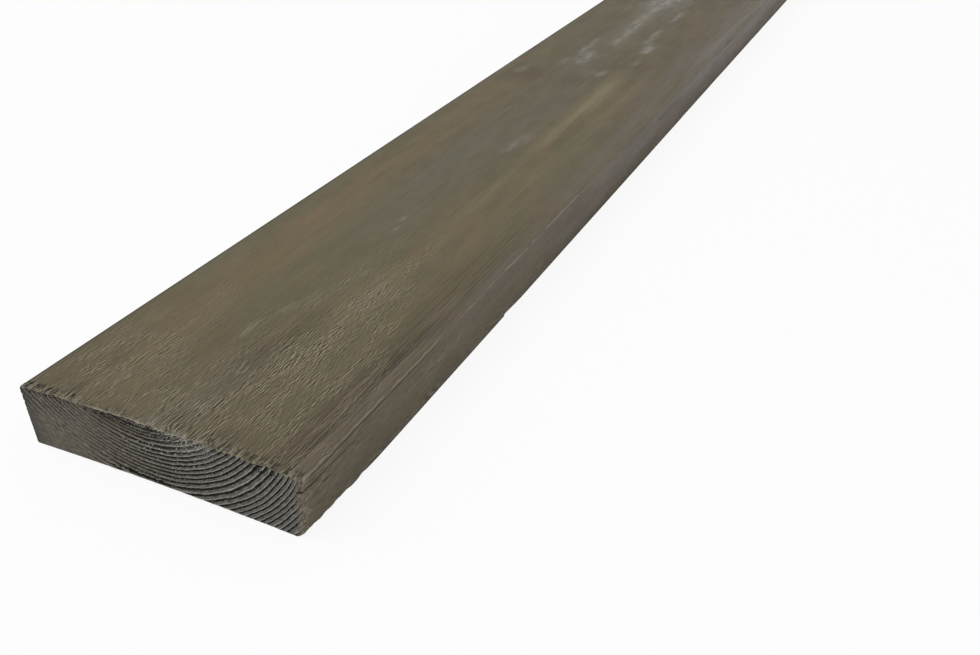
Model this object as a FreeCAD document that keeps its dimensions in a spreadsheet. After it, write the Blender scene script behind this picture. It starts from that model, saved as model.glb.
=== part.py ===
"""A length of sawn, pressure-treated softwood decking board.

The board is one piece of timber. It lies flat with its length along Y, its width along X and +Z up.
The origin is at the middle of its underside, at the level of the floor that it rests on.
The near end, at -Y, is the sawn end that shows.

The board has cupped as it dried. The top face is crowned, the underside is hollow, and the two edges lean in
towards the underside, so it rests on its two lower arrises. The four long arrises are eased. The saw has
broken a chip out of the near end's top lip. The lower right arris is knocked back towards that end, a
splinter has come away from it further along, and a short split opens in the right edge below the top arris.
"""

import math
import os

import FreeCAD
import Part
import Sketcher

FULL_TURN = 360.0

# Driving dimensions, in millimetres and degrees.
SIZES = [
    ("board_length", 1800.0, "sawn length, along Y"),
    ("board_width", 150.0, "across the two upper arrises, along X"),
    ("board_thickness", 32.0, "top to underside at the middle of the width"),
    ("crown_rise", 2.2, "how far the middle of the top face stands above its long edges"),
    ("hollow_rise", 1.4, "how far the middle of the underside stands above its long edges"),
    ("edge_draw_in", 1.8, "how far each edge leans in from its upper arris to its lower one"),
    ("upper_arris_radius", 1.2, "rounding of the two upper long arrises"),
    ("lower_arris_radius", 1.0, "rounding of the two lower long arrises"),
    ("lip_chip_offset", 8.0, "centre of the chip in the near end's top lip, from the middle, along X"),
    ("lip_chip_width", 18.0, "that chip, along X"),
    ("lip_chip_reach", 4.0, "how far back it runs over the top face, along Y"),
    ("lip_chip_depth", 1.2, "how far down it bites below the crown"),
    ("arris_wear_leg", 3.2, "how far the lower right arris is knocked back at the near end"),
    ("arris_wear_length", 78.0, "how far along that wear runs before it dies out"),
    ("splinter_distance", 192.0, "blunt end of the missing splinter, from the near end"),
    ("splinter_length", 34.0, "how far it runs on from there before it dies out"),
    ("splinter_height", 1.9, "how high up the right edge its blunt end reaches"),
    ("splinter_depth", 3.0, "how far it goes in under the board"),
    ("split_drop", 5.8, "mouth of the split at the near end, below the right edge's top"),
    ("split_length", 14.0, "how far the split runs back from the near end"),
    ("split_fall", 1.4, "how far it falls over that length"),
    ("split_depth", 3.0, "how far it goes in from the upper arris"),
    ("split_opening", 0.7, "width of its mouth"),
]


def make_sheet(doc):
    """The spreadsheet with one named cell for each driving dimension."""
    sheet = doc.addObject("Spreadsheet::Sheet", "sizes")
    for row, (alias, value, note) in enumerate(SIZES, start=1):
        sheet.set(f"A{row}", alias)
        sheet.set(f"B{row}", f"{value}")
        sheet.set(f"C{row}", note)
        sheet.setAlias(f"B{row}", alias)
    doc.recompute()
    return sheet


def origin_plane(body, role):
    """The body's own origin plane with this role, such as XZ_Plane."""
    return next(feature for feature in body.Origin.OriginFeatures if feature.Role == role)


def name_constraint(sketch, constraint, name, expression):
    """Adds a dimension to the sketch and ties it to the sheet."""
    index = sketch.addConstraint(constraint)
    sketch.renameConstraint(index, name)
    sketch.setExpression(f"Constraints.{name}", expression)


def arc_of_circle(half_width, edge_height, rise):
    """An arc from the right edge over the middle to the left edge, which stands this far above them."""
    radius = (half_width**2 + rise**2) / (2 * rise)
    centre = FreeCAD.Vector(0, edge_height + rise - radius, 0)
    half_angle = math.asin(half_width / radius)
    circle = Part.Circle(centre, FreeCAD.Vector(0, 0, 1), radius)
    return Part.ArcOfCircle(circle, math.pi / 2 - half_angle, math.pi / 2 + half_angle)


def make_section(doc, body, sheet):
    """The cross-section: a crowned top, a hollow underside and two edges that lean in downwards."""
    half = sheet.board_width / 2
    half_under = half - sheet.edge_draw_in
    edge = sheet.hollow_rise + sheet.board_thickness - sheet.crown_rise
    sketch = body.newObject("Sketcher::SketchObject", "section")
    sketch.AttachmentSupport = [(origin_plane(body, "XZ_Plane"), "")]
    sketch.MapMode = "FlatFace"

    top = sketch.addGeometry(arc_of_circle(half, edge, sheet.crown_rise))
    under = sketch.addGeometry(arc_of_circle(half_under, 0, sheet.hollow_rise))
    right = sketch.addGeometry(
        Part.LineSegment(FreeCAD.Vector(half_under, 0, 0), FreeCAD.Vector(half, edge, 0))
    )
    left = sketch.addGeometry(
        Part.LineSegment(FreeCAD.Vector(-half, edge, 0), FreeCAD.Vector(-half_under, 0, 0))
    )

    start, end, vertical_axis, root = 1, 2, -2, -1
    sketch.addConstraint(Sketcher.Constraint("Coincident", under, start, right, start))
    sketch.addConstraint(Sketcher.Constraint("Coincident", right, end, top, start))
    sketch.addConstraint(Sketcher.Constraint("Coincident", top, end, left, start))
    sketch.addConstraint(Sketcher.Constraint("Coincident", left, end, under, end))
    sketch.addConstraint(Sketcher.Constraint("Symmetric", top, end, top, start, vertical_axis))
    sketch.addConstraint(Sketcher.Constraint("Symmetric", under, end, under, start, vertical_axis))
    sketch.addConstraint(Sketcher.Constraint("PointOnObject", under, start, root))

    name_constraint(
        sketch, Sketcher.Constraint("DistanceX", top, end, top, start, 2 * half), "width", "sizes.board_width"
    )
    name_constraint(
        sketch,
        Sketcher.Constraint("DistanceY", right, start, right, end, edge),
        "edge_height",
        "sizes.hollow_rise + sizes.board_thickness - sizes.crown_rise",
    )
    half_width = "(sizes.board_width / 2)"
    half_underside = "(sizes.board_width / 2 - sizes.edge_draw_in)"
    name_constraint(
        sketch,
        Sketcher.Constraint("DistanceX", under, end, under, start, 2 * half_under),
        "underside_width",
        f"2 * {half_underside}",
    )
    for arc, name, reach, rise in (
        (top, "crown_radius", half_width, "sizes.crown_rise"),
        (under, "hollow_radius", half_underside, "sizes.hollow_rise"),
    ):
        formula = f"({reach} ^ 2 + {rise} ^ 2) / (2 * {rise})"
        value = float(sketch.evalExpression(formula))
        name_constraint(sketch, Sketcher.Constraint("Radius", arc, value), name, formula)
    doc.recompute()
    return sketch


def near_end_plane(sketch, body, setback="0"):
    """Puts a sketch upright across the board, at the near end or set back from it by this expression."""
    sketch.AttachmentSupport = [(origin_plane(body, "XZ_Plane"), "")]
    sketch.MapMode = "FlatFace"
    sketch.setExpression("AttachmentOffset.Base.z", f"sizes.board_length / 2 - ({setback})")


def make_board(doc, body, sheet):
    """The sawn length with its eased arrises."""
    section = make_section(doc, body, sheet)
    board = body.newObject("PartDesign::Pad", "sawn_length")
    board.Profile = section
    board.Midplane = True
    board.setExpression("Length", "sizes.board_length")
    doc.recompute()
    for name, upper in (("upper_arrises", True), ("lower_arrises", False)):
        last = body.Tip
        edges = long_edges(last.Shape, sheet, upper)
        arris = body.newObject("PartDesign::Fillet", name)
        arris.Base = (last, edges)
        arris.setExpression("Radius", f"sizes.{name[:-2]}_radius")
        doc.recompute()


def long_edges(shape, sheet, upper):
    """Names of the two straight long edges at the top or at the underside of the board's two sides."""
    middle = sheet.board_thickness / 2
    names = []
    for index, edge in enumerate(shape.Edges, start=1):
        at = edge.CenterOfMass
        runs_along = edge.Length > sheet.board_length * 0.99
        on_side = abs(at.x) > sheet.board_width / 2 - sheet.edge_draw_in - 0.01
        if runs_along and on_side and (at.z > middle) == upper:
            names.append(f"Edge{index}")
    return names


def pin(sketch, geometry, point, across, up):
    """Holds a point of the sketch at two distances from the sketch's origin, both given as expressions."""
    for kind, formula in (("DistanceX", across), ("DistanceY", up)):
        value = float(sketch.evalExpression(formula))
        index = sketch.addConstraint(Sketcher.Constraint(kind, -1, 1, geometry, point, value))
        sketch.setExpression(f"Constraints[{index}]", formula)


def draw_triangle(sketch, corners):
    """A closed triangle whose corners are each given as two expressions."""
    points = [
        FreeCAD.Vector(float(sketch.evalExpression(across)), float(sketch.evalExpression(up)), 0)
        for across, up in corners
    ]
    lines = [sketch.addGeometry(Part.LineSegment(points[i], points[(i + 1) % 3])) for i in range(3)]
    for i, (across, up) in enumerate(corners):
        sketch.addConstraint(Sketcher.Constraint("Coincident", lines[i - 1], 2, lines[i], 1))
        pin(sketch, lines[i], 1, across, up)


def wear_section(body, name, setback, leg):
    """A triangle over the lower right arris that takes this leg off the underside and off the edge."""
    sketch = body.newObject("Sketcher::SketchObject", name)
    near_end_plane(sketch, body, setback)
    clear = "2"
    side = "sizes.board_width / 2 - sizes.edge_draw_in"
    draw_triangle(
        sketch,
        [
            (f"{side} - {leg} - {clear}", f"-{clear}"),
            (f"{side} + {clear}", f"-{clear}"),
            (f"{side} + {clear}", f"{leg} + {clear}"),
        ],
    )
    return sketch


def cut_arris_wear(doc, body):
    """The lower right arris is knocked back at the near end and recovers along the board."""
    at_end = wear_section(body, "wear_at_end", "0", "sizes.arris_wear_leg")
    run_out = wear_section(body, "wear_run_out", "sizes.arris_wear_length", "0.1")
    doc.recompute()
    wear = body.newObject("PartDesign::SubtractiveLoft", "arris_wear")
    wear.Profile = at_end
    wear.Sections = [run_out]
    wear.Ruled = True
    doc.recompute()


def edge_sketch(body, name):
    """A sketch over the right edge, at the board's widest, seen from the right with Y across and Z up."""
    sketch = body.newObject("Sketcher::SketchObject", name)
    sketch.AttachmentSupport = [(origin_plane(body, "YZ_Plane"), "")]
    sketch.MapMode = "FlatFace"
    sketch.setExpression("AttachmentOffset.Base.z", "sizes.board_width / 2")
    return sketch


def cut_splinter(doc, body):
    """A splinter gone from the lower right arris: a blunt step that runs out along the grain."""
    sketch = edge_sketch(body, "splinter_outline")
    blunt_end = "sizes.splinter_distance - sizes.board_length / 2"
    draw_triangle(
        sketch,
        [
            (blunt_end, "0"),
            (f"{blunt_end} + sizes.splinter_length", "0"),
            (blunt_end, "sizes.splinter_height"),
        ],
    )
    splinter = body.newObject("PartDesign::Pocket", "missing_splinter")
    splinter.Profile = sketch
    splinter.setExpression("Length", "sizes.edge_draw_in + sizes.splinter_depth")
    doc.recompute()


def cut_lip_chip(doc, body, sheet):
    """The scoop that the saw broke out of the near end's top lip, deepest at the end face."""
    half = sheet.lip_chip_width / 2
    depth = sheet.lip_chip_depth
    top = sheet.board_thickness + sheet.hollow_rise
    centre = sheet.lip_chip_offset
    reach_radius = (sheet.lip_chip_reach**2 + depth**2) / (2 * depth)
    sketch = body.newObject("Sketcher::SketchObject", "chip_outline")
    near_end_plane(sketch, body)

    radius = (half**2 + depth**2) / (2 * depth)
    half_angle = math.asin(half / radius)
    circle = Part.Circle(
        FreeCAD.Vector(centre, top - depth + radius, 0), FreeCAD.Vector(0, 0, 1), radius
    )
    downwards = -math.pi / 2
    bottom = sketch.addGeometry(Part.ArcOfCircle(circle, downwards - half_angle, downwards + half_angle))
    chord = sketch.addGeometry(
        Part.LineSegment(FreeCAD.Vector(centre + half, top, 0), FreeCAD.Vector(centre - half, top, 0))
    )
    axis_height = top - depth + reach_radius
    axis = sketch.addGeometry(
        Part.LineSegment(
            FreeCAD.Vector(centre - half, axis_height, 0), FreeCAD.Vector(centre + half, axis_height, 0)
        ),
        True,
    )
    top_formula = "sizes.board_thickness + sizes.hollow_rise"
    left_formula = "sizes.lip_chip_offset - sizes.lip_chip_width / 2"
    right_formula = "sizes.lip_chip_offset + sizes.lip_chip_width / 2"
    reach_formula = "(sizes.lip_chip_reach ^ 2 + sizes.lip_chip_depth ^ 2) / (2 * sizes.lip_chip_depth)"
    axis_formula = f"{top_formula} - sizes.lip_chip_depth + {reach_formula}"
    sketch.addConstraint(Sketcher.Constraint("Coincident", bottom, 2, chord, 1))
    sketch.addConstraint(Sketcher.Constraint("Coincident", chord, 2, bottom, 1))
    pin(sketch, chord, 1, right_formula, top_formula)
    pin(sketch, chord, 2, left_formula, top_formula)
    name_constraint(
        sketch,
        Sketcher.Constraint("Radius", bottom, radius),
        "scoop_radius",
        "(sizes.lip_chip_width ^ 2 / 4 + sizes.lip_chip_depth ^ 2) / (2 * sizes.lip_chip_depth)",
    )
    pin(sketch, axis, 1, left_formula, axis_formula)
    pin(sketch, axis, 2, right_formula, axis_formula)
    doc.recompute()
    chip = body.newObject("PartDesign::Groove", "lip_chip")
    chip.Profile = sketch
    chip.ReferenceAxis = (sketch, ["Axis0"])
    chip.Angle = FULL_TURN
    doc.recompute()


def cut_split(doc, body):
    """A drying split in the right edge: a wedge that is widest at the near end and closes along the grain."""
    sketch = edge_sketch(body, "split_outline")
    near_end = "-sizes.board_length / 2"
    edge_top = "sizes.board_thickness + sizes.hollow_rise - sizes.crown_rise"
    mouth = f"{edge_top} - sizes.split_drop"
    draw_triangle(
        sketch,
        [
            (near_end, f"{mouth} - sizes.split_opening / 2"),
            (f"{near_end} + sizes.split_length", f"{mouth} - sizes.split_fall"),
            (near_end, f"{mouth} + sizes.split_opening / 2"),
        ],
    )
    split = body.newObject("PartDesign::Pocket", "edge_split")
    split.Profile = sketch
    split.setExpression("Length", "sizes.split_depth")
    doc.recompute()


def check_built(doc, body):
    """Stops when a feature has failed or one of the cuts has taken nothing away."""
    solids = [feature for feature in body.Group if hasattr(feature, "AddSubShape")]
    for feature in doc.Objects:
        if "Invalid" in feature.State or "Error" in feature.State:
            raise RuntimeError(f"{feature.Name} is {feature.State}")
    for before, after in zip(solids, solids[1:]):
        if after.Shape.isNull() or not after.Shape.isValid():
            raise RuntimeError(f"{after.Name} has no valid shape")
        if after.Shape.Volume >= before.Shape.Volume:
            raise RuntimeError(f"{after.Name} cut nothing")
    if len(body.Shape.Solids) != 1:
        raise RuntimeError("the board isn't one solid")


def main():
    os.makedirs("parts", exist_ok=True)
    doc = FreeCAD.newDocument("decking_board")
    sheet = make_sheet(doc)
    body = doc.addObject("PartDesign::Body", "deck_board")
    body.Label = "deck_board"
    make_board(doc, body, sheet)
    cut_arris_wear(doc, body)
    cut_splinter(doc, body)
    cut_lip_chip(doc, body, sheet)
    cut_split(doc, body)
    check_built(doc, body)
    body.Shape.exportStep("parts/deck_board.step")
    box = body.Shape.BoundBox
    print(f"deck_board {box.XLength:.1f} x {box.YLength:.1f} x {box.ZLength:.2f} mm")
    print(f"volume {body.Shape.Volume / 1e6:.3f} litres")


main()
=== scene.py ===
# %% [markdown]
# A length of sawn, pressure-treated softwood decking board, seen over its near sawn end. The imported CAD
# model gives the true size. It loads first, and everything is made to fit its box. From afar a plain box
# with a wood finish would do, but here the near end fills the view, so its teeth, its chip and its torn
# lip are real shape, and the finishes over them are mixed from noise.

import math

import bpy
import numpy as np
from mathutils import Matrix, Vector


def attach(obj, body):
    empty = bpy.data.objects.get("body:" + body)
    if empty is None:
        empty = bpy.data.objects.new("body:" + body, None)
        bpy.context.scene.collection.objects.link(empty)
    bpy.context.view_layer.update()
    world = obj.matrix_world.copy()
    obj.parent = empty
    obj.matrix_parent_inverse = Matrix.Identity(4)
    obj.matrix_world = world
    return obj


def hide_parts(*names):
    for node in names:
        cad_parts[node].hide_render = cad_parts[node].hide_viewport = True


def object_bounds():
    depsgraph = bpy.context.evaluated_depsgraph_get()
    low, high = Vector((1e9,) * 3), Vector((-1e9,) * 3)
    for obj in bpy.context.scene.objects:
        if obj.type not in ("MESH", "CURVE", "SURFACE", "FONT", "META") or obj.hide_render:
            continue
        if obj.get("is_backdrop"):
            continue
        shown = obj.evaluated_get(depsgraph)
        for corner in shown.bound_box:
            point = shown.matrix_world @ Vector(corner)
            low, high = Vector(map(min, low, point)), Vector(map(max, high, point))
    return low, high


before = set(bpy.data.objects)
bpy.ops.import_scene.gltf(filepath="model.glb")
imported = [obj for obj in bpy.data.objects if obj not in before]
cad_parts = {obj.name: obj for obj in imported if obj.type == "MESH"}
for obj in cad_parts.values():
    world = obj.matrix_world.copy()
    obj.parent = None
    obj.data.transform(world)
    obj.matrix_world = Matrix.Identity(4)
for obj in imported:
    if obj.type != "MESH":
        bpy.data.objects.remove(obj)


def box_as_lists():
    """Lowest and highest corner of what shows, as plain numbers in metres."""
    return [[float(value) for value in corner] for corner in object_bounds()]


cad_box = box_as_lists()
print("CAD box", cad_box)

# %% [markdown]
# The board has cupped as it dried: its top is crowned, its underside hollow, and its edges lean in
# towards the underside. All the shapes below are worked out in millimetres, with `along` counted from
# the near end, and become metres only when they go into a mesh.

# %% The board's sizes, in millimetres
METRE = 1000.0
LENGTH = 1800.0
HALF_WIDTH = 75.0
HALF_UNDERSIDE = 73.2
EDGE_HEIGHT = 31.2
CROWN_RISE = 2.2
HOLLOW_RISE = 1.4
UPPER_ARRIS_RADIUS = 1.2
LOWER_ARRIS_RADIUS = 1.0

# %% [markdown]
# The camera stands over the near end, a little to its right, and looks along the board. It could be
# set by eye, but so near the board each millimetre shows. Its place, its turn and its focal length were
# found from the board's own corners and straight edges instead.

# %% Camera
CAMERA_PLACE = (0.269282, -1.138066, 0.288014)
CAMERA_TURN, CAMERA_DIP, CAMERA_ROLL = (math.radians(a) for a in (-25.4348, 31.9286, 0.0782))
CAMERA_LENS = 36.8433


def camera_axes(turn, dip, roll):
    """Right, up and backward axes: turn about Z from +Y, then look down by dip, then roll."""
    ahead = np.array([math.sin(turn) * math.cos(dip), math.cos(turn) * math.cos(dip), -math.sin(dip)])
    level = np.array([math.cos(turn), -math.sin(turn), 0.0])
    upright = np.cross(level, ahead)
    right = math.cos(roll) * level + math.sin(roll) * upright
    up = -math.sin(roll) * level + math.cos(roll) * upright
    return right, up, -ahead


camera_data = bpy.data.cameras.new("end_view")
camera_data.sensor_width = 36.0
camera_data.lens = CAMERA_LENS
camera_data.clip_start = 0.01
camera = bpy.data.objects.new("end_view", camera_data)
bpy.context.scene.collection.objects.link(camera)
camera_matrix = Matrix.Identity(4)
for column, axis in enumerate(camera_axes(CAMERA_TURN, CAMERA_DIP, CAMERA_ROLL)):
    for row in range(3):
        camera_matrix[row][column] = axis[row]
camera_matrix.translation = CAMERA_PLACE
camera.matrix_world = camera_matrix
bpy.context.scene.camera = camera
bpy.context.scene.view_settings.view_transform = "Standard"
print("camera", tuple(round(value, 3) for value in camera.location), "lens", camera_data.lens)

# %% [markdown]
# Numpy has no smooth noise of its own, so one is made here: random heights on a wrapped lattice, joined
# by smooth curves. It serves the shapes only, and the materials have their own noise.

# %% Smooth noise for the shapes
LATTICE_SIZE, LATTICE_START = 256, 900.0
LAYER_STEP_ACROSS, LAYER_STEP_ALONG = 17.3, 41.7
LATTICE = np.random.default_rng(20).random((LATTICE_SIZE, LATTICE_SIZE))


def noise(across, along, cell, stretch=1.0, layer=0):
    """0 to 1: lattice heights `cell` apart across and `cell` x `stretch` apart along, joined by a
    smooth S. Each layer starts at a place of its own."""
    u = np.asarray(across, float) / cell + LAYER_STEP_ACROSS * layer + LATTICE_START
    v = np.asarray(along, float) / (cell * stretch) + LAYER_STEP_ALONG * layer + LATTICE_START
    i, j = np.floor(u).astype(int), np.floor(v).astype(int)
    a, b = u - i, v - j
    a, b = a * a * (3 - 2 * a), b * b * (3 - 2 * b)
    i0, i1, j0, j1 = (k % LATTICE_SIZE for k in (i, i + 1, j, j + 1))
    low = LATTICE[i0, j0] * (1 - a) + LATTICE[i1, j0] * a
    high = LATTICE[i0, j1] * (1 - a) + LATTICE[i1, j1] * a
    return low * (1 - b) + high * b


def ramp(value, start, end):
    """0 before start, 1 after end and a smooth S between them; start may be the larger."""
    t = np.clip((np.asarray(value, float) - start) / (end - start), 0.0, 1.0)
    return t * t * (3 - 2 * t)


# %% [markdown]
# Softwood grows in rings round a pith, which lies here about 50 mm above the board. A board cut from the
# outer side of the log shows the rings on its sawn end as nested bowls, and on its faces as lines along
# the grain. They could be drawn on each face apart, but one field that says how many rings out from
# the pith any point is makes end and faces agree.

# %% Growth rings
PITH_X, PITH_Z = -8.96, 80.1
MIDDLE_RING_RADIUS = 85.0
MIDDLE_HEIGHT = 16.0
# Outer limits of the rings, in millimetres from the pith.
RING_LIMITS = np.array(
    [50.5, 52.0, 54.0, 56.7, 59.5, 61.8, 64.0, 66.2, 68.8, 71.0, 73.3, 75.8, 78.5, 81.8]
    + [84.9, 87.8, 90.2, 92.5, 94.7, 97.1, 99.2, 101.2, 103.8, 106.1, 108.2, 111.7]
)
RING_PITCH = 2.2
# How deeply the end is bitten between its rings, 0 to 1, at these places across it.
BITTEN_AT = [-75, -60, -46, -38, -30, -20, -10, 0, 30, 60, 75]
BITTEN = [0.10, 0.05, 0.08, 0.20, 0.45, 0.75, 0.95, 1.0, 0.85, 0.8, 0.6]


def drift(along, cell, layer):
    """A slow wander along the board, which starts from nought at the near end."""
    return noise(0 * along, along, cell, layer=layer) - noise(0.0, 0.0, cell, layer=layer)


def pith_distance(x, z, along):
    """Distance from a pith that wanders along the board, plus the bends of a real log's rings: a cubic
    in the place across and the height, fitted to the rings of the near end."""
    across = x - PITH_X - 5.0 * drift(along, 260.0, 3)
    upwards = z - PITH_Z - 4.0 * drift(along, 340.0, 4)
    u, w = x / HALF_WIDTH, (z - MIDDLE_HEIGHT) / MIDDLE_HEIGHT
    bend = -3.183 * u + 1.442 * u**2 + 1.185 * u * w - 1.288 * w + 2.827 * u**3 + 0.197 * u**2 * w
    return np.hypot(across, upwards) + bend


def ring_count(distance):
    """Rings from the first listed limit, whole at each limit, and evenly spaced beyond the list."""
    inner = RING_LIMITS[0] - RING_PITCH * np.arange(20, 0, -1)
    outer = RING_LIMITS[-1] + RING_PITCH * np.arange(1, 21)
    limits = np.concatenate([inner, RING_LIMITS, outer])
    return np.interp(distance, limits, np.arange(len(limits), dtype=float))


def round_the_ring(x, z):
    """Millimetres along a middle ring, from straight below the pith."""
    return MIDDLE_RING_RADIUS * np.arctan2(x - PITH_X, PITH_Z - z)


def ring_waver(round_ring, distance):
    """Small unevenness of each ring limit, as a part of a ring: a slow wave and a short one."""
    slow = noise(round_ring, distance, 7.0, 0.5, layer=6) - 0.5
    short = noise(round_ring, distance, 1.3, 1.0, layer=16) - 0.5
    return 0.16 * slow + 0.12 * short


def ring_strength(x, z, distance):
    """How hard the saw and the weather have bitten between the rings on the end: weak at the left."""
    middle_rings = ramp(distance, 66, 69) * ramp(distance, 84, 80) * ramp(x, -48, -26)
    upper_left = 0.5 * ramp(x, -34, -50) * ramp(z, 17, 26)
    return np.clip(np.interp(x, BITTEN_AT, BITTEN) + 0.25 * middle_rings + upper_left, 0, 1)


print("rings at the near end:", len(RING_LIMITS), "pitch", np.diff(RING_LIMITS).mean().round(2), "mm")

# %% [markdown]
# The cross-section is one closed outline: the crowned top, the leaning right edge, the hollow underside
# and the leaning left edge, with a small arc at each arris. A rounded box would be simpler, but the cup
# is what tells a dried board. The points crowd together where the right edge is split, so that the split
# can open between them.

# %% Cross-section
TOP_STEPS, SIDE_STEPS, ARRIS_STEPS = 330, 96, 6
# Down the right edge, these shares of its steps bring a point to the top and the foot of the split.
SPLIT_SHARES, SPLIT_TOP, SPLIT_FOOT = (3 / 28, 10 / 28), 26.25, 23.8


def bowed(x, half, foot, rise):
    """Height over x of the arc through (-half, foot) and (half, foot) that rises this far above them."""
    radius = (half**2 + rise**2) / (2 * rise)
    return foot + rise - radius + np.sqrt(radius**2 - x**2)


def arris(corner, arriving, leaving, radius):
    """An arc that rounds a corner: a circle tangent to the lines that arrive at it and leave it."""
    arriving = np.array(arriving) / np.hypot(*arriving)
    leaving = np.array(leaving) / np.hypot(*leaving)
    inward = np.array([arriving[1], -arriving[0]])
    turn = math.acos(float(arriving @ leaving))
    start = np.array(corner) - arriving * radius * math.tan(turn / 2)
    angles = np.linspace(0, turn, 2 * ARRIS_STEPS + 1)[:, None]
    return start + inward * radius * (1 - np.cos(angles)) + arriving * radius * np.sin(angles)


def section_outline():
    """The closed outline as (x, z) rows, clockwise from the upper left arris, seen from the near end."""
    lean = (-(HALF_WIDTH - HALF_UNDERSIDE), -EDGE_HEIGHT)
    top_slope = 2 * CROWN_RISE / HALF_WIDTH
    under_slope = 2 * HOLLOW_RISE / HALF_UNDERSIDE
    upper = arris((HALF_WIDTH, EDGE_HEIGHT), (1, -top_slope), lean, UPPER_ARRIS_RADIUS)
    lower = arris((HALF_UNDERSIDE, 0), lean, (-1, under_slope), LOWER_ARRIS_RADIUS)
    mirror = np.array([-1.0, 1.0])
    x_top = np.linspace(-upper[0][0], upper[0][0], TOP_STEPS - 2 * ARRIS_STEPS + 1)
    x_under = np.linspace(lower[-1][0], -lower[-1][0], TOP_STEPS - 2 * ARRIS_STEPS + 1)
    top = np.stack([x_top, bowed(x_top, HALF_WIDTH, EDGE_HEIGHT, CROWN_RISE)], 1)
    under = np.stack([x_under, bowed(x_under, HALF_UNDERSIDE, 0.0, HOLLOW_RISE)], 1)
    steps = SIDE_STEPS - 2 * ARRIS_STEPS
    heights = [upper[-1][1], SPLIT_TOP, SPLIT_FOOT, lower[0][1]]
    height = np.interp(np.linspace(0, 1, steps + 1), [0, *SPLIT_SHARES, 1], heights)
    right = np.stack([HALF_WIDTH - (EDGE_HEIGHT - height) * lean[0] / lean[1], height], 1)
    right = right + (upper[-1] - right[0]) * [1, 0]
    left = right[::-1] * mirror
    left_upper, left_lower = (upper * mirror)[::-1], (lower * mirror)[::-1]
    runs = [left_upper[ARRIS_STEPS:-1], top, upper[1:], right[1:], lower[1:], under[1:]]
    runs += [left_lower[1:], left[1:], left_upper[1:ARRIS_STEPS]]
    return np.concatenate(runs)


outline = section_outline()
RIM = len(outline)
rim_edges = np.roll(outline, -1, 0) - outline
rim_tangent = rim_edges + np.roll(rim_edges, 1, 0)
rim_tangent /= np.hypot(rim_tangent[:, 0], rim_tangent[:, 1])[:, None]
rim_outward = np.stack([-rim_tangent[:, 1], rim_tangent[:, 0]], 1)
rim_length = np.concatenate([[0], np.cumsum(np.hypot(*rim_edges.T))[:-1]])
print("outline points", RIM, "of", 2 * (TOP_STEPS + SIDE_STEPS), "round", rim_length[-1].round(1), "mm")

# %% [markdown]
# The stations are the distances along the board at which the outline is repeated. They stand 0.4 mm
# apart behind the torn end, close together where a splinter has gone, and far apart where nothing
# changes, because steps that fine all along would take millions of faces. Behind the first few
# millimetres every third outline point is enough.

# %% Stations along the board
THIN_OUT = 3
fine_stations = np.linspace(0.0, 5.6, 15)
STATION_RUNS = [(6.8, 50.0, 29), (50.0, 186.0, 34), (186.0, 197.0, 11), (197.0, 230.0, 11)]
STATION_RUNS += [(230.0, 620.0, 31), (620.0, 1770.0, 36), (1770.0, 1797.0, 4), (1797.0, 1800.0, 3)]
coarse_stations = np.unique(np.concatenate([np.linspace(a, b, n + 1) for a, b, n in STATION_RUNS]))
print("stations", len(fine_stations), "fine and", len(coarse_stations), "coarse")

# %% [markdown]
# The saw tears the soft early wood of each ring out of the end and leaves the hard late wood standing,
# so the end is a set of saw teeth, one to a ring: a sharp drop just outside each ring limit and a slow
# rise to the next. Along the top lip and in a few other places whole flakes have broken out, and a
# short crack runs in from the mouth of the split. A bump map could draw all this, but real teeth also
# break the lip's outline and catch the light.

# %% Relief of the sawn end
RING_BITE = 0.7
CRACK_X, CRACK_Z, CRACK_SLOPE, CRACK_DEPTH = 74.8, 25.2, 0.4, 0.9
# A tooth's height over one ring, from one ring limit to the next.
TOOTH_AT, TOOTH = [0.0, 0.12, 0.3, 0.55, 0.72, 0.9, 1.0], [1.0, 0.8, 0.35, 0.05, 0.0, 0.7, 1.0]
# Torn places: centre x, centre z, half width, half height, depth in millimetres.
TORN_PLACES = [
    (-22.0, 30.9, 17.0, 1.7, 0.75),
    (6.0, 30.4, 13.0, 3.0, 0.85),
    (22.0, 31.8, 6.0, 1.3, 0.5),
    (39.0, 31.3, 9.0, 1.5, 0.45),
    (56.0, 30.3, 7.5, 2.4, 0.8),
    (-57.0, 30.6, 16.0, 1.4, 0.55),
    (-12.0, 3.6, 16.0, 1.5, 0.7),
]


def torn(x, z):
    """0 to 1 where the end's wood is loose, and the depth in millimetres of the bites torn out of it."""
    mask, depth = 0 * x, 0 * x
    for cx, cz, half_width, half_height, deep in TORN_PLACES:
        reach = ((x - cx) / half_width) ** 2 + ((z - cz) / half_height) ** 2
        place = ramp(reach, 1.3, 0.5)
        mask = np.maximum(mask, place * min(1.0, 1.15 * deep))
        depth = np.maximum(depth, place * deep)
    bites = ramp(noise(round_the_ring(x, z), z, 1.2, 0.6, layer=5), 0.5, 0.68)
    return mask, depth * bites


def crack(x, z):
    """0 to 1 on the short crack that runs on from the split's mouth, inwards and a little down."""
    off_line = np.abs(z - CRACK_Z - CRACK_SLOPE * (x - CRACK_X))
    return ramp(x, 70.8, 72.6) * ramp(off_line, 0.6, 0.15)


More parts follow.
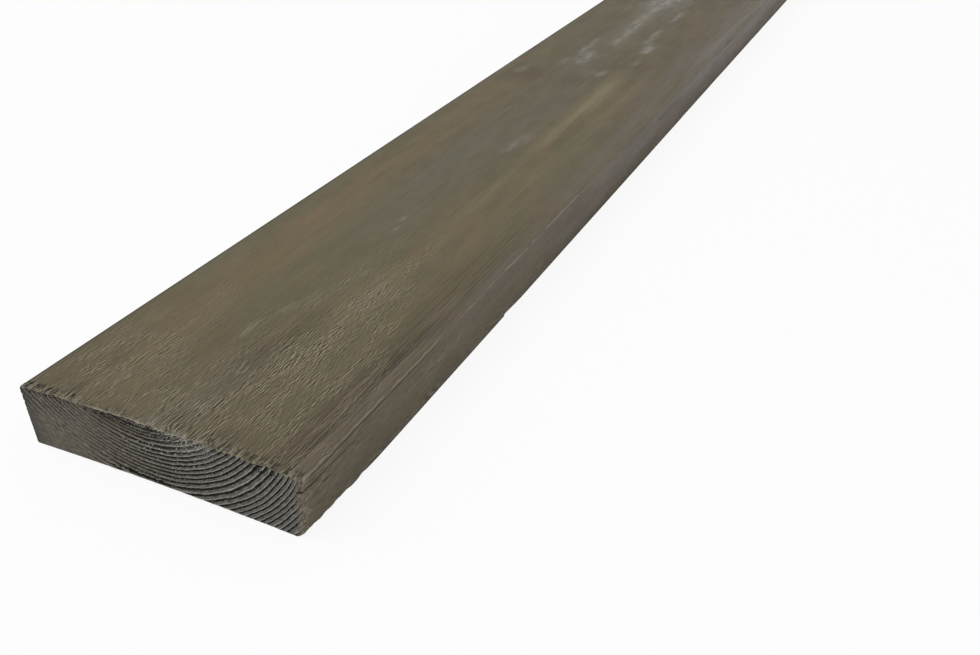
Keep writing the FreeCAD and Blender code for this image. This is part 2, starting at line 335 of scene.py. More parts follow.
def end_relief(x, z):
    """Millimetres into the wood: a tooth over each ring's phase, times how hard that place is bitten,
    plus the torn places, the crack and a fine roughness. The teeth are low along the lower edge."""
    distance = pith_distance(x, z, 0 * x)
    round_ring = round_the_ring(x, z)
    phase = ring_count(distance) + ring_waver(round_ring, distance)
    tooth = np.interp(phase - np.floor(phase), TOOTH_AT, TOOTH)
    broken = 0.55 + 0.45 * noise(round_ring, distance, 1.6, 0.7, layer=7)
    underside = bowed(np.clip(x, -HALF_UNDERSIDE, HALF_UNDERSIDE), HALF_UNDERSIDE, 0.0, HOLLOW_RISE)
    calm = (0.15 + 0.85 * ramp(z - underside, 0.2, 2.2)) * (0.45 + 0.55 * ramp(x, 74.5, 71.5))
    bite = RING_BITE * ring_strength(x, z, distance) * tooth * broken
    rough = 0.05 * noise(x, z, 0.6, layer=8) + 0.1 * noise(x, z, 9.0, layer=9)
    return calm * (bite + torn(x, z)[1]) + CRACK_DEPTH * crack(x, z) + rough


# %% [markdown]
# Each long face keeps the outline apart from its damage, which only ever takes wood away: the lips at
# the ends are nibbled by the saw, the lower right arris is knocked back near the end, a splinter has
# come away from it further on, a split opens in the right edge, and the saw has scooped a chip out of
# the top lip. Cutting each with a tool shape would break the skin up, so one function moves the points.

# %% Relief of the long faces
LOWER_ARRIS_AT = [0, 5, 10, 20, 25, 30, 35, 40, 46, 50, 55, 60, 70, 80, 146, 152, 160, 250]
LOWER_ARRIS_LEG = [3.5, 3.1, 2.8, 2.5, 2.2, 1.9, 1.4, 1.1, 1.5, 1.2, 0.7, 0.5, 0.2, 0, 0, 0, 0, 0]
LOWER_ARRIS_AT += [400, 520, 700, 950, 1300, 1800]
LOWER_ARRIS_LEG += [0.3, 0.8, 1.0, 0.6, 0.9, 1.2]
SPLINTER_START, SPLINTER_END, SPLINTER_HEIGHT, SPLINTER_INNER_X = 192.0, 226.0, 1.9, 70.2
CHIP_X, CHIP_HALF, CHIP_REACH, CHIP_DEPTH, CROWN_TOP = 8.0, 9.0, 4.0, 1.2, 33.4
SPLIT_MOUTH_Z, SPLIT_FALL, SPLIT_LENGTH, SPLIT_DEPTH, SPLIT_OPENING = 25.4, 1.4, 14.0, 3.0, 0.7


def split_height(along):
    """Height of the split's middle line, which falls as it runs in from the end."""
    return SPLIT_MOUTH_Z - SPLIT_FALL * np.clip(along / SPLIT_LENGTH, 0, 1)


def knock_back(x, z, along):
    """Points beyond a 45 degree plane over the lower right arris move straight back on to it."""
    leg = np.interp(along, LOWER_ARRIS_AT, LOWER_ARRIS_LEG)
    ragged = 1 + 0.5 * (noise(along, z, 4.0, layer=10) - 0.5)
    beyond = (x - z - (HALF_UNDERSIDE - leg * ragged)) / math.sqrt(2)
    beyond = np.where((x > 60) & (z < 12), np.maximum(beyond, 0), 0)
    return x - beyond / math.sqrt(2), z + beyond / math.sqrt(2)


def long_face_points(pick, along, shift):
    """Outline points at each station, in millimetres: (station, point, xyz). Each point moves inwards
    along its outline normal by the sum of its damage, and near the near end it follows the end's relief."""
    a = along[:, None] + 0 * outline[None, pick, 0]
    x = outline[None, pick, 0] + 0 * a
    z = outline[None, pick, 1] + 0 * a
    out_x, out_z = rim_outward[None, pick, 0], rim_outward[None, pick, 1]
    round_rim = x + 1.9 * z
    right_edge, top = ramp(out_x, 0.5, 0.95), ramp(out_z, 0.3, 0.9)

    from_end = np.minimum(a, LENGTH - a)
    nibble = ramp(noise(round_rim, 0 * a, 1.0, layer=11), 0.5, 0.85)
    nibble_reach = 0.5 + 2.2 * noise(round_rim, 0 * a, 1.7, layer=12) ** 2
    clean_cut = np.interp(x, [-52, -46, -12, -5], [1.0, 0.2, 0.2, 1.0])
    lip = (0.08 + 0.72 * top * clean_cut) * nibble * np.exp(-from_end / nibble_reach)
    eased = (0.1 + 0.15 * right_edge) * np.clip(1 - from_end / 6.0, 0, 1) ** 2
    hollows = 0.1 * noise(round_rim, a, 11.0, 9.0, layer=13)
    on_split = np.abs(z - split_height(a)) / (SPLIT_OPENING / 2)
    gaping = np.clip(1 - a / SPLIT_LENGTH, 0, 1) ** 0.6
    split = SPLIT_DEPTH * right_edge * gaping * np.clip(1 - on_split / (0.15 + gaping), 0, 1)
    inward = lip + eased + hollows + split
    x, z = x - out_x * inward, z - out_z * inward

    scoop = np.clip(1 - ((x - CHIP_X) / CHIP_HALF) ** 2, 0, 1)
    scoop = scoop * np.clip(1 - (a / CHIP_REACH) ** 2, 0, 1)
    scoop = CHIP_DEPTH * scoop * (0.6 + 0.6 * noise(x, a, 1.5, 2.0, layer=14))
    z = np.where(z > 20, np.minimum(z, CROWN_TOP - scoop), z)
    x, z = knock_back(x, z, a)
    in_splinter = (a > SPLINTER_START) & (a < SPLINTER_END) & (x > SPLINTER_INNER_X)
    step = SPLINTER_HEIGHT * (SPLINTER_END - a) / (SPLINTER_END - SPLINTER_START)
    z = np.where(in_splinter & (z < step), step, z)
    y = a + shift[None, pick] * ramp(a, 3.2, 0.0)
    return np.stack([x, y, z], -1)


end_shift = end_relief(outline[:, 0], outline[:, 1])
every_point = np.arange(RIM)
every_third = np.arange(0, RIM, THIN_OUT)
fine_rows = long_face_points(every_point, fine_stations, end_shift)
coarse_rows = long_face_points(every_third, coarse_stations, end_shift)
print("near rows", fine_rows.shape, "far rows", coarse_rows.shape)

# %% [markdown]
# Each end is a Coons patch: a sheet stretched between the four sides of the rim. A plain fill would
# have no points inside to carry the teeth, and this one also meets the long faces point for point. On
# the near end the relief then sinks it into the wood.

# %% The two sawn ends


def rim_grid(steps_across, steps_down, count):
    """Rim index of each side of a grid with one more point each way than steps: top, right, under,
    left."""
    i, j = np.arange(steps_across + 1), np.arange(steps_down + 1)
    top = i
    right = steps_across + j
    under = (2 * steps_across + steps_down - i) % count
    left = (2 * steps_across + 2 * steps_down - j) % count
    return top, right, under, left


def coons_patch(rim, steps_across, steps_down):
    """Sheet between four sides: the blend across plus the blend down, less the blend of the corners."""
    top, right, under, left = rim_grid(steps_across, steps_down, len(rim))
    u = (rim[top, 0] - rim[top[0], 0]) / (rim[top[-1], 0] - rim[top[0], 0])
    v = (rim[right, 2] - rim[right[0], 2]) / (rim[right[-1], 2] - rim[right[0], 2])
    u, v = u[:, None, None], v[None, :, None]
    down = (1 - v) * rim[top][:, None] + v * rim[under][:, None]
    across = (1 - u) * rim[left][None] + u * rim[right][None]
    corners = (1 - u) * (1 - v) * rim[top[0]] + u * (1 - v) * rim[top[-1]]
    corners = corners + (1 - u) * v * rim[under[0]] + u * v * rim[under[-1]]
    return down + across - corners


near_cap = coons_patch(fine_rows[0], TOP_STEPS, SIDE_STEPS)
near_cap[..., 1] = end_relief(near_cap[..., 0], near_cap[..., 2])
far_cap = coons_patch(coarse_rows[-1], TOP_STEPS // THIN_OUT, SIDE_STEPS // THIN_OUT)
print("near end", near_cap.shape, "deepest", near_cap[..., 1].max().round(2), "mm")

# %% [markdown]
# One closed skin joins the rows and the two ends. Where the outline thins out, one six-cornered face
# spans three fine edges and one coarse edge, so no gap and no loose edge is left.

# %% The skin's points and faces


def tube_faces(start, rows, count):
    """Quads between neighbouring rows of a closed tube whose first point has this index."""
    first = start + np.arange(rows - 1)[:, None] * count
    k = np.arange(count)[None]
    following = (k + 1) % count
    return np.stack([first + k, first + following, first + count + following, first + count + k], -1)


def cap_index(rim_start, inner_start, steps_across, steps_down, count):
    """Vertex index of every grid point of an end: its rim points first, then its own inner points."""
    index = np.zeros((steps_across + 1, steps_down + 1), int)
    inner = (steps_across - 1) * (steps_down - 1)
    index[1:-1, 1:-1] = inner_start + np.arange(inner).reshape(steps_across - 1, steps_down - 1)
    top, right, under, left = rim_grid(steps_across, steps_down, count)
    index[:, 0], index[-1, :] = rim_start + top, rim_start + right
    index[:, -1], index[0, :] = rim_start + under, rim_start + left
    return index


def grid_faces(index):
    """Quads of a grid of vertex indices, turned to face the near end."""
    return np.stack([index[:-1, :-1], index[:-1, 1:], index[1:, 1:], index[1:, :-1]], -1).reshape(-1, 4)


coarse_rim = RIM // THIN_OUT
coarse_start = fine_rows.shape[0] * RIM
near_inner_start = coarse_start + coarse_rows.shape[0] * coarse_rim
far_inner_start = near_inner_start + (TOP_STEPS - 1) * (SIDE_STEPS - 1)
sheets = (fine_rows, coarse_rows, near_cap[1:-1, 1:-1], far_cap[1:-1, 1:-1])
points = np.concatenate([sheet.reshape(-1, 3) for sheet in sheets])
near_index = cap_index(0, near_inner_start, TOP_STEPS, SIDE_STEPS, RIM)
far_steps = (TOP_STEPS // THIN_OUT, SIDE_STEPS // THIN_OUT)
far_index = cap_index(near_inner_start - coarse_rim, far_inner_start, *far_steps, coarse_rim)
m = np.arange(coarse_rim)
last_fine = coarse_start - RIM
joint_corners = [last_fine + (THIN_OUT * m + step) % RIM for step in range(THIN_OUT + 1)]
joint_corners += [coarse_start + (m + 1) % coarse_rim, coarse_start + m]
joint_faces = np.stack(joint_corners, -1)
near_faces = grid_faces(near_index)
far_faces = grid_faces(far_index)[:, ::-1]
fine_faces = tube_faces(0, fine_rows.shape[0], RIM).reshape(-1, 4)
coarse_faces = tube_faces(coarse_start, coarse_rows.shape[0], coarse_rim).reshape(-1, 4)
quads = np.concatenate([near_faces, far_faces, fine_faces, coarse_faces])
triangles = 2 * len(quads) + 4 * len(joint_faces)
print("points", len(points), "triangles", triangles)

# %% [markdown]
# The skin carries numbers for its materials to read at each point: how many rings out it is, how hard
# the end is bitten there, and how much of each stain it has. Years of damp, sun and handling have left
# stains that run along the grain. Far along, a pale haze and a purple-grey cast are partly grey
# weathering and partly painted sheen, where the view grazes the faces. A painted picture could hold
# all these, but a list of long soft patches is easy to change and stays sharp close up. The last two,
# nap and grain, aren't tints: they say how strongly raised fibres and ring lines show.

# %% Stains on the faces
# Top face: each patch's centre across, centre along, half width, half length and strength.
TOP_STAINS = {
    "ochre": [
        (-50, 220, 13, 190, 0.45), (-38, 60, 12, 60, 0.35), (-34, 170, 9, 60, 0.3),
        (27, 205, 6, 55, 0.45), (16, 250, 4, 40, 0.3), (48, 250, 7, 90, 0.3), (-60, 430, 12, 60, 0.3),
        (-55, 35, 30, 60, 0.36), (40, 1450, 14, 260, 0.35),
    ],
    "straw": [
        (24, 465, 8, 55, 0.6), (23, 385, 5, 45, 0.4), (26, 275, 4, 50, 0.3), (44, 400, 6, 170, 0.25),
        (-32, 60, 1.2, 22, 0.35), (-38, 48, 1.0, 26, 0.35), (28, 125, 7, 36, 0.25),
    ],
    "olive": [
        (-70, 200, 6, 260, 0.35), (-24, 140, 10, 80, 0.35), (52, 290, 8, 90, 0.35),
        (10, 210, 6, 50, 0.25), (-50, 640, 20, 110, 0.3), (4, 650, 8, 50, 0.4),
    ],
    "slate": [
        (-18, 290, 13, 100, 0.55), (4, 330, 9, 150, 0.45), (-10, 470, 18, 90, 0.35),
        (8, 34, 7, 30, 0.5), (4, 760, 8, 60, 0.5),
    ],
    "umber": [
        (0, 4, 90, 11, 0.28), (0, 45, 90, 60, 0.22), (-35, 25, 22, 50, 0.1), (-62, 28, 13, 40, 0.24),
        (-52, 22, 9, 30, 0.2), (12, 10, 7, 14, 0.15), (12, 74, 6, 34, 0.38), (4, 62, 6, 14, 0.35),
        (60, 60, 8, 150, 0.38), (71, 130, 6, 150, 0.42), (71, 40, 7, 75, 0.66), (72, 76, 4, 40, 0.42),
        (-52, 5, 9, 7, 0.45), (-4, 6, 6, 6, 0.4), (28, 5, 9, 7, 0.42), (12, 35, 7, 60, 0.16),
        (-52, 112, 8, 40, 0.12), (-44, 500, 13, 20, 0.4), (-62, 486, 6, 12, 0.25),
        (-8, 497, 9, 14, 0.35), (-32, 538, 10, 9, 0.35), (42, 560, 20, 60, 0.15),
    ],
    # Purple-grey: near the right arris the wood's own colour, in the broad far patches partly painted
    # sheen.
    "mauve_and_sheen": [
        (73, 130, 5, 190, 0.5), (66, 480, 14, 230, 0.5), (62, 800, 16, 220, 0.45),
        (-20, 600, 16, 90, 0.3), (0, 1250, 95, 760, 0.3), (-55, 1350, 14, 260, 0.35),
    ],
    "chalk": [
        (-29, 592, 3, 20, 0.5), (-19, 555, 6, 16, 0.4), (-30, 540, 6, 8, 0.3), (-11, 640, 4, 40, 0.35),
        (-14, 705, 6, 40, 0.3), (6, 705, 3, 9, 0.5), (14, 712, 3, 8, 0.5), (12, 674, 2.5, 7, 0.5),
        (13, 645, 2, 9, 0.5), (21, 600, 4, 12, 0.5), (16, 616, 4, 7, 0.4), (24, 560, 3, 8, 0.3),
        (8, 522, 6, 6, 0.25), (-14, 800, 18, 60, 0.55), (-57, 502, 4, 5, 0.5), (7, 345, 3, 5, 0.4),
        (10, 362, 4, 8, 0.25), (-1, 262, 1.5, 3, 0.3), (-4, 236, 1.2, 2.5, 0.6),
        (-3, 217, 1.2, 2.5, 0.5), (0, 205, 1.0, 2.5, 0.3), (-5, 106, 1.3, 6, 0.22),
        (-10, 78, 1.5, 7, 0.22), (11, 152, 1.2, 4, 0.3), (-2, 3, 3.5, 3.5, 0.35),
        (12, 1, 11, 2.0, 0.35), (-40, 960, 22, 130, 0.45), (30, 1240, 12, 160, 0.3),
        (-20, 1500, 15, 120, 0.3),
    ],
    # Partly painted sheen: the pale haze far along is partly grey weathering and partly the sheen where
    # the view grazes the far part.
    "bloom_and_sheen": [(77, 830, 14, 300, 0.25), (-12, 720, 7, 110, 0.26)],
    "nap": [
        (27, 70, 12, 75, 0.95), (27, 165, 9, 42, 0.42), (23, 245, 5, 35, 0.16), (36, 122, 10, 36, 0.45),
        (-42, 32, 20, 34, 0.62), (-62, 42, 10, 30, 0.5), (50, 60, 12, 60, 0.45), (6, 30, 12, 32, 0.6),
        (2, 90, 7, 60, 0.45), (-9, 85, 4, 25, 0.6), (8, 150, 4, 40, 0.35), (0, 14, 90, 16, 0.45),
        (28, 32, 9, 24, 0.8), (13, 40, 7, 40, 0.6), (47, 70, 8, 50, 0.3), (12, 2, 13, 5, 0.8),
        (-38, 75, 14, 50, 0.3), (-16, 26, 10, 26, 0.4), (66, 50, 7, 60, 0.3),
    ],
    "grain": [
        (66, 70, 10, 120, 0.9), (66, 260, 10, 130, 0.3), (-66, 30, 12, 60, 0.25),
        (0, 900, 90, 960, 0.12),
    ],
}
# Right edge: each patch's centre height, centre along, half height, half length and strength.
RIGHT_STAINS = {
    "umber": [
        (2, 330, 4, 400, 0.3), (26, 60, 4, 60, 0.15), (14, 10, 40, 90, 0.22), (15, 4, 40, 12, 0.16),
        (26.5, 108, 0.8, 25, 0.35),
    ],
    # Far along the right edge these purple-grey and pale patches are painted sheen, growing with distance
    # as the view grazes the edge; near the end the purple-grey is the edge's own colour.
    "mauve_and_sheen": [(16, 90, 40, 190, 0.3), (16, 700, 30, 560, 0.8), (16, 1500, 30, 320, 0.6)],
    "chalk": [(2.6, 60, 0.8, 120, 0.2)],
    "bloom_and_sheen": [(16, 830, 30, 190, 0.1), (26, 700, 10, 330, 0.25)],
    "nap": [
        (23, 32, 7, 40, 0.25), (20, 112, 4, 22, 0.4), (3.6, 120, 2.5, 150, 0.5), (15, 10, 16, 14, 0.5),
    ],
}


def soft_patches(patches, across, along):
    """Strength of one stain: each patch is a bell across the grain times a flatter bell along it, and
    they stack like glazes."""
    left = np.ones_like(across)
    for cross, centre, half_cross, half_long, strength in patches:
        bell = ((across - cross) / half_cross) ** 2 + np.abs((along - centre) / half_long) ** 3
        left = left * (1 - strength * np.exp(-bell))
    return 1 - left


x, along, z = points.T
outward = np.zeros((len(points), 2))
outward[:coarse_start] = np.tile(rim_outward, (len(fine_stations), 1))
outward[coarse_start:near_inner_start] = np.tile(rim_outward[every_third], (len(coarse_stations), 1))
is_top, is_right = ramp(outward[:, 1], 0.3, 0.9), ramp(outward[:, 0], 0.15, 0.6)

on_near_end = np.zeros(len(points), bool)
on_near_end[near_index.ravel()] = True
ring_place = pith_distance(x, z, np.where(on_near_end, 0.0, along))
round_ring = round_the_ring(x, z)
rings = ring_count(ring_place)
rings = rings + on_near_end * ring_waver(round_ring, ring_place)
broken = 0.4 + 0.6 * noise(round_ring, ring_place, 1.6, 0.7, layer=7)
from_left = x + HALF_UNDERSIDE + (HALF_WIDTH - HALF_UNDERSIDE) * z / EDGE_HEIGHT
by_notches = np.interp(x, [-75, -44, -38, 18, 26, 75], [1.0, 1.0, 0.15, 0.15, 0.6, 0.6])
by_tips = np.interp(x, [-36, -31, 1, 18, 22], [0.3, 1, 1, 0.9, 0.4])
measures = {
    "grain_path": np.stack([rings, round_ring, along], -1),
    "ring_bite": ring_strength(x, z, ring_place) * broken,
    "torn": torn(x, z)[0],
    # Painted contact shadow along the foot of the right edge, where it meets the floor.
    "foot": ramp(z, 1.8, 0.5) * (outward[:, 0] > 0.2),
    "bruise": on_near_end * ramp(x, 69.0, 73.0),
    "crack": on_near_end * crack(x, z),
    "worn": on_near_end * np.exp(-(((x - 8.0) / 24.0) ** 2)) * (0.6 + 0.4 * ramp(z, 12, 24)),
    # Painted shade: a dark line along the end's left edge, which turns away from the light.
    "left_rim_shade": on_near_end * ramp(from_left, 1.3, 0.2),
    # The end's left corner is laid darker.
    "left_end_darker": on_near_end * ramp(x, -64, -72),
    "pale_end": on_near_end * np.exp(-(((x - 15.0) / 14.0) ** 2) - ((z - 32.0) / 5.0) ** 2),
    "brown_end": on_near_end * np.exp(-(((x + 20.0) / 19.0) ** 2)) * ramp(z, 21, 29),
    # Painted shade: a dark line along the left top arris, which turns away from the light.
    "left_arris_shade": ramp(z, 28, 30) * ramp(x, -73.0, -74.0),
    "lip": np.exp(-np.minimum(along, LENGTH - along) / 3.0),
    "notched": is_top * by_notches,
    "pale_lip": is_top * ramp(along, 1.5, 0.4) * by_tips,
    "right_edge": is_right,
}
for stain, patches in TOP_STAINS.items():
    on_edge = is_right * soft_patches(RIGHT_STAINS.get(stain, []), z, along)
    measures[stain] = is_top * soft_patches(patches, x, along) + on_edge
print("patches on the top", {stain: len(patches) for stain, patches in TOP_STAINS.items()})
print("patches on the right edge", {stain: len(patches) for stain, patches in RIGHT_STAINS.items()})

# %% [markdown]
# The mesh takes the points and faces as they are. A point goes from millimetres along the board to the
# frame's metres about its middle, and the box of the CAD model is the last word on its size.

# %% Build the board's mesh
SHARP_ANGLE = 50


def to_metres(place):
    """Millimetres counted from the near end to metres in the CAD frame, kept inside the CAD box."""
    metres = (place - [0.0, LENGTH / 2, 0.0]) / METRE
    return np.clip(metres, cad_box[0], cad_box[1])


def signed_volume(place, faces):
    """Sum over the faces' triangles of a . (b x c) / 6, which is positive when they face outwards."""
    a, b, c, d = (place[faces[:, corner]] for corner in range(4))
    first = np.einsum("ij,ij->i", a, np.cross(b, c))
    second = np.einsum("ij,ij->i", a, np.cross(c, d))
    return float((first + second).sum() / 6)


def add_measures(mesh, values):
    """Each number or triple of numbers becomes a named attribute of the mesh's points."""
    for name, value in values.items():
        kind, field = ("FLOAT_VECTOR", "vector") if value.ndim == 2 else ("FLOAT", "value")
        attribute = mesh.attributes.new(name, kind, "POINT")
        attribute.data.foreach_set(field, value.astype(np.float32).ravel())


def dress(mesh_name, place, faces):
    """A smooth-shaded piece from points in metres and faces, which rides on the board's body."""
    mesh = bpy.data.meshes.new(mesh_name)
    mesh.from_pydata(place.tolist(), [], faces)
    mesh.update()
    mesh.shade_smooth()
    piece = bpy.data.objects.new(mesh_name, mesh)
    bpy.context.scene.collection.objects.link(piece)
    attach(piece, "root")
    return piece


skin = to_metres(points)
board = dress("weathered_board", skin, quads.tolist() + joint_faces.tolist())
add_measures(board.data, measures)
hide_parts("deck_board")
end_faces = len(near_faces) + len(far_faces)
slots = np.zeros(len(board.data.polygons), np.int32)
slots[:end_faces] = 1
board.data.polygons.foreach_set("material_index", slots)
board.data.set_sharp_from_angle(angle=math.radians(SHARP_ANGLE))
litres = signed_volume(skin, quads) * 1000
print("volume about", round(litres, 2), "litres, faces", len(board.data.polygons))

# %% [markdown]
# Torn fibres stand along the sawn lip. Strands of hair would be the usual way, but these are only a
# millimetre or two long and have to be plain mesh. Each is a thin bent blade, three-sided so that it has
# some body from every side. All are one mesh, made at once as an array with one row to a fibre.

# %% Torn fibres
FIBRES = 900
FIBRE_LENGTHS, FIBRE_WIDTHS, FIBRE_BEND = (0.5, 2.4), (0.16, 0.36), 0.25
# The three corners of a blade stand a third of a turn apart.
CORNER_TURNS = (0.0, 2.094, 4.189)
draw = np.random.default_rng(7)


def blades(root, ahead, upright, length, width):
    """Three-sided blades: three points round the root, three round the middle and one at the tip. The
    middle line is root + ahead x length x t + upright x bend x length x t squared, for t from 0 to 1."""
    side = np.cross(ahead, upright)
    side /= np.linalg.norm(side, axis=1)[:, None]
    place = []
    rise = FIBRE_BEND * length
    for t, girth in ((0.0, 1.0), (0.5, 0.8)):
        middle = root + ahead * (length * t)[:, None] + upright * (rise * t * t)[:, None]
        for turn in CORNER_TURNS:
            spoke = side * math.cos(turn) + upright * math.sin(turn)
            place.append(middle + spoke * (width * girth / 2)[:, None])
    place.append(root + ahead * length[:, None] + upright * rise[:, None])
    place = np.stack(place, 1)
    shell = [[0, 1, 4], [0, 4, 3], [1, 2, 5], [1, 5, 4], [2, 0, 3], [2, 3, 5]]
    shell += [[3, 4, 6], [4, 5, 6], [5, 3, 6], [2, 1, 0]]
    faces = np.arange(len(root))[:, None, None] * 7 + np.array(shell)[None]
    return place.reshape(-1, 3), faces.reshape(-1, 3)


def lip_fibres(count):
    """Roots along the near end's rim, thick where the end is torn, each laid mostly along the grain."""
    weight = 0.25 + 1.0 * (rim_outward[:, 1] > 0.5) + 0.5 * (rim_outward[:, 0] > 0.5)
    weight = weight * (0.3 + noise(outline[:, 0], outline[:, 1], 5.0, layer=15) ** 2)
    pick = draw.choice(RIM, count, p=weight / weight.sum())
    row = draw.integers(0, 6, count)
    root = fine_rows[row, pick]
    out = np.stack([rim_outward[pick, 0], 0 * row, rim_outward[pick, 1]], 1)
    length = draw.uniform(*FIBRE_LENGTHS, count)
    lean = draw.normal(0, 0.35, count)
    ahead = np.stack([lean * rim_tangent[pick, 0], -np.ones(count), lean * rim_tangent[pick, 1]], 1)
    ahead /= np.linalg.norm(ahead, axis=1)[:, None]
    root = root - ahead * (length * draw.uniform(0.3, 1.0, count))[:, None]
    return blades(root, ahead, out, length, draw.uniform(*FIBRE_WIDTHS, count))


fibre_points, fibre_faces = lip_fibres(FIBRES)
fibres = dress("torn_fibres", to_metres(fibre_points), fibre_faces.tolist())
print("fibres", FIBRES, "faces", len(fibre_faces))

# %% [markdown]
# Materials are wired from nodes. They could be built by hand in the shader editor, but these few helpers
# place a node, join it and hand back its outputs, so that each effect below reads as a short recipe.

# %% Helpers for wiring nodes


def paint(red, green, blue):
    """A screen colour in 0 to 255 as the linear colour that Blender works in."""
    screen = np.array([red, green, blue]) / 255.0
    linear = np.where(screen <= 0.04045, screen / 12.92, ((screen + 0.055) / 1.055) ** 2.4)
    return (*(float(value) for value in linear), 1.0)


class Wiring:
    """Places and joins the nodes of one tree."""

    def __init__(self, tree):
        self.tree = tree

    def feed(self, socket, value):
        """An input takes another node's output, a number that the mesh carries, by its name, or else a
        plain value."""
        if isinstance(value, str):
            value = self.measure(value)
        if isinstance(value, bpy.types.NodeSocket):
            self.tree.links.new(value, socket)
        else:
            socket.default_value = value

    def put(self, kind, feeds=None, **settings):
        """The outputs of a new node that has these settings, and these inputs by name or number."""
        node = self.tree.nodes.new(kind)
        for name, value in settings.items():
            setattr(node, name, value)
        for name, value in (feeds or {}).items():
            self.feed(node.inputs[name], value)
        return node.outputs

    def group(self, tree, feeds):
        """The outputs of a node group placed with these inputs."""
        return self.put("ShaderNodeGroup", feeds, node_tree=tree)

    def measure(self, name, output="Fac"):
        """A number that the mesh carries."""
        return self.put("ShaderNodeAttribute", attribute_name=name)[output]

    def sums(self, operation, *values):
        """One step of arithmetic."""
        return self.put("ShaderNodeMath", dict(enumerate(values)), operation=operation)[0]

    def times(self, first, second):
        """The product of two numbers."""
        return self.sums("MULTIPLY", first, second)

    def times_plus(self, first, second, extra):
        """The product of two numbers and then a third added."""
        return self.sums("MULTIPLY_ADD", first, second, extra)

    def ramp(self, value, start, end, low=0.0, high=1.0):
        """A smooth S from low at start to high at end."""
        feeds = {"Value": value, "From Min": start, "From Max": end, "To Min": low, "To Max": high}
        return self.put("ShaderNodeMapRange", feeds, interpolation_type="SMOOTHSTEP")[0]

    def mix(self, share, first, second):
        """A colour between two colours."""
        return self.put("ShaderNodeMix", {0: share, 6: first, 7: second}, data_type="RGBA")[2]

    def glaze(self, wood, share, red, green, blue):
        """Paint of this screen colour laid over the wood's colour by its share."""
        return self.mix(share, wood, paint(red, green, blue))

    def noise(self, place, sizes, detail=2.0, roughness=0.5, shift=None):
        """Noise whose cells have these three sizes, in millimetres or in the place's own units. A shift
        is counted in cells."""
        cell = self.put("ShaderNodeCombineXYZ", dict(enumerate(sizes)))[0]
        spot = self.put("ShaderNodeVectorMath", {0: place, 1: cell}, operation="DIVIDE")[0]
        if shift:
            spot = self.put("ShaderNodeVectorMath", {0: spot, 1: shift}, operation="ADD")[0]
        feeds = {"Vector": spot, "Scale": 1.0, "Detail": detail, "Roughness": roughness}
        return self.put("ShaderNodeTexNoise", feeds)["Fac"]


def new_group(name, inputs, outputs):
    """An empty node group, its wiring, its inputs and its outputs. Sockets are numbers unless said."""
    tree = bpy.data.node_groups.new(name, "ShaderNodeTree")
    for sockets, direction in ((inputs, "INPUT"), (outputs, "OUTPUT")):
        for socket, kind in sockets.items():
            tree.interface.new_socket(socket, in_out=direction, socket_type="NodeSocket" + kind)
    given = tree.nodes.new("NodeGroupInput")
    result = tree.nodes.new("NodeGroupOutput")
    return tree, Wiring(tree), given.outputs, result.inputs


print("white paint", paint(255, 255, 255))

# %% [markdown]
# Growth rings show on every surface. They could be drawn for each face, but one group that takes the
# ring count keeps end and faces together. It gives a thin mask at each ring limit, a wider one on the
# hard late wood just inside it, and the gaps in which the line has worn off.

# %% Growth ring group
LATE_WOOD_OFFSET = 0.26
ring_group, wire, given, result = new_group(
    "growth_rings",
    {"Path": "Vector"} | dict.fromkeys(("Waver", "Limit Width", "Late Width", "Gap Length"), "Float"),
    dict.fromkeys(("Limit", "Late Wood", "Gaps"), "Float"),
)
ring_number = wire.put("ShaderNodeSeparateXYZ", {0: given["Path"]})[0]
wander = wire.sums("SUBTRACT", wire.noise(given["Path"], (2.0, 6.0, 60.0)), 0.5)
count = wire.sums("ADD", ring_number, wire.times(wander, given["Waver"]))
from_limit = wire.sums("PINGPONG", count, 0.5)
core = wire.times(given["Limit Width"], 0.5)
wire.feed(result["Limit"], wire.ramp(from_limit, given["Limit Width"], core))
from_late = wire.sums("PINGPONG", wire.sums("ADD", count, LATE_WOOD_OFFSET), 0.5)
wire.feed(result["Late Wood"], wire.ramp(from_late, given["Late Width"], 0.02))
gap_sizes = (0.6, given["Gap Length"], wire.times(given["Gap Length"], 12.0))
wire.feed(result["Gaps"], wire.ramp(wire.noise(given["Path"], gap_sizes), 0.42, 0.6))
print(ring_group.name, "nodes", len(ring_group.nodes))

# %% [markdown]
# Sawn, weathered softwood is covered in short raised fibres, each a light dash with a dark gap beside
# it: the dash is pale fibre with painted light on its lit side, and the gap is painted shadow. Real
# hairs would be far too many, so the group stretches noise along the grain instead. Crispness sets
# each dash against the wood right beside it, which leaves only the needle-fine ones.

# %% Fibre group
fibre_group, wire, given, result = new_group(
    "raised_fibres",
    {"Place": "Vector"} | dict.fromkeys(("Pitch", "Length", "Crispness"), "Float"),
    dict.fromkeys(("Light", "Dark", "Height"), "Float"),
)
dash_sizes = (given["Pitch"], given["Length"], given["Pitch"])
dashes = wire.noise(given["Place"], dash_sizes, 1.5)
beside = wire.noise(given["Place"], dash_sizes, 1.0, shift=(0.9, 0.0, 0.0))
dashes = wire.times_plus(wire.sums("SUBTRACT", 0.5, beside), given["Crispness"], dashes)
wire.feed(result["Light"], wire.ramp(dashes, 0.53, 0.6))
wire.feed(result["Dark"], wire.ramp(dashes, 0.47, 0.4))
wire.feed(result["Height"], dashes)
print(fibre_group.name, "nodes", len(fibre_group.nodes))

# %% [markdown]
# A stain soaks in unevenly along the grain. A plain soft patch would look sprayed on, so the group lays
# the tint over the colour by a mask whose edge is broken up by the face's own streaks.

# %% Stain group
stain_group, wire, given, result = new_group(
    "stain",
    {"Color": "Color", "Tint": "Color", "Mask": "Float", "Streaks": "Float"},
    {"Color": "Color"},
)
feather = wire.times(given["Mask"], wire.ramp(given["Streaks"], 0.3, 0.7, 0.35, 1.65))
wire.feed(result["Color"], wire.mix(wire.sums("MINIMUM", feather, 1.0), given["Color"], given["Tint"]))
print(stain_group.name, "nodes", len(stain_group.nodes))
